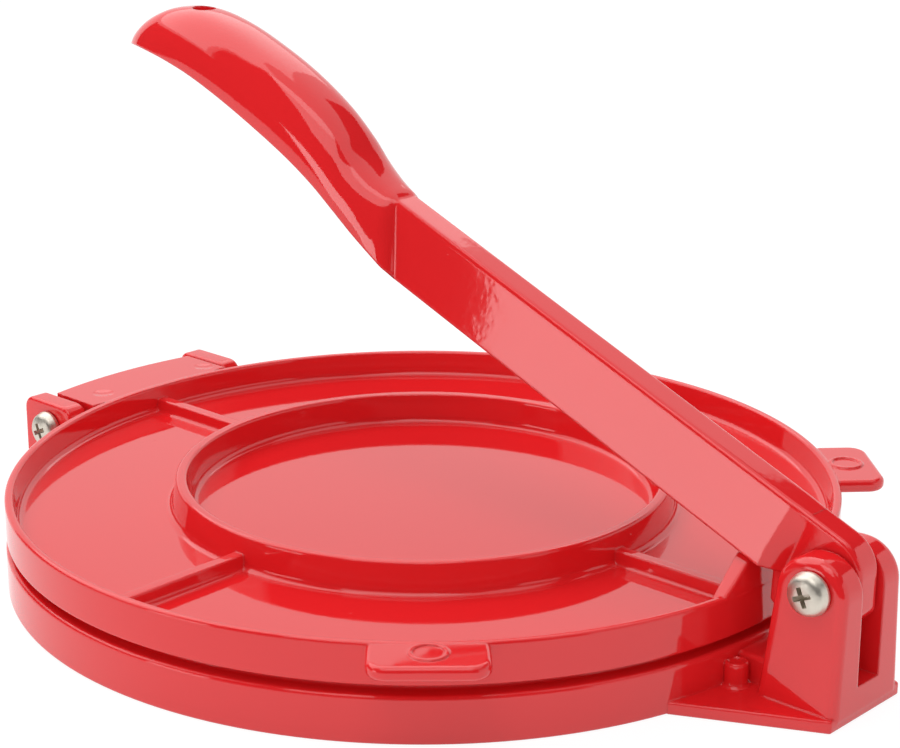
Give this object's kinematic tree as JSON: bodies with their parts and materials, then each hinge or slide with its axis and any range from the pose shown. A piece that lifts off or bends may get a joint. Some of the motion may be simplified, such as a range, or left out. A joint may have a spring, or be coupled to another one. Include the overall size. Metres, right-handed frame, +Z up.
{
  "type": "tortilla press",
  "caption": "Round cast hand press: flat lower plate, ribbed upper plate hinged at one side, and a curved lever pinned in a clevis opposite that bears on a pad of the upper plate.",
  "frame": {"origin": "centre of the footprint's bounding box, on the surface that the press stands on", "axes": "+Z up; +X from the plate hinge to the lever's clevis; +Y along both pins, from their heads to their lock nuts"},
  "size_m": [0.2548, 0.2084, 0.1318],
  "materials": {
    "red_enamel": "gloss",
    "bright_nickel": "satin"
  },
  "bodies": {
    "base_body": {"base": "red_enamel", "lever_bolt": "bright_nickel", "lever_lock_nut": "bright_nickel", "hinge_bolt": "bright_nickel", "hinge_washer": "bright_nickel", "hinge_lock_nut": "bright_nickel"},
    "plate_body": {"upper_plate": "red_enamel"},
    "lever_body": {"lever": "red_enamel"}
  },
  "joints": [
    {"name": "lever_swing", "type": "hinge", "parent": "base_body", "child": "lever_body", "pos_m": [0.11935, 0, 0.03], "axis": [0, 1, 0], "range_deg": [0, 155]},
    {"name": "upper_plate_hinge", "type": "hinge", "parent": "base_body", "child": "plate_body", "pos_m": [-0.11615, 0, 0.016], "axis": [0, -1, 0], "range_deg": [0, 14]}
  ],
  "couplings": [
    {"joint": "upper_plate_hinge", "follows": "lever_swing", "ratio": 0.0903}
  ]
}
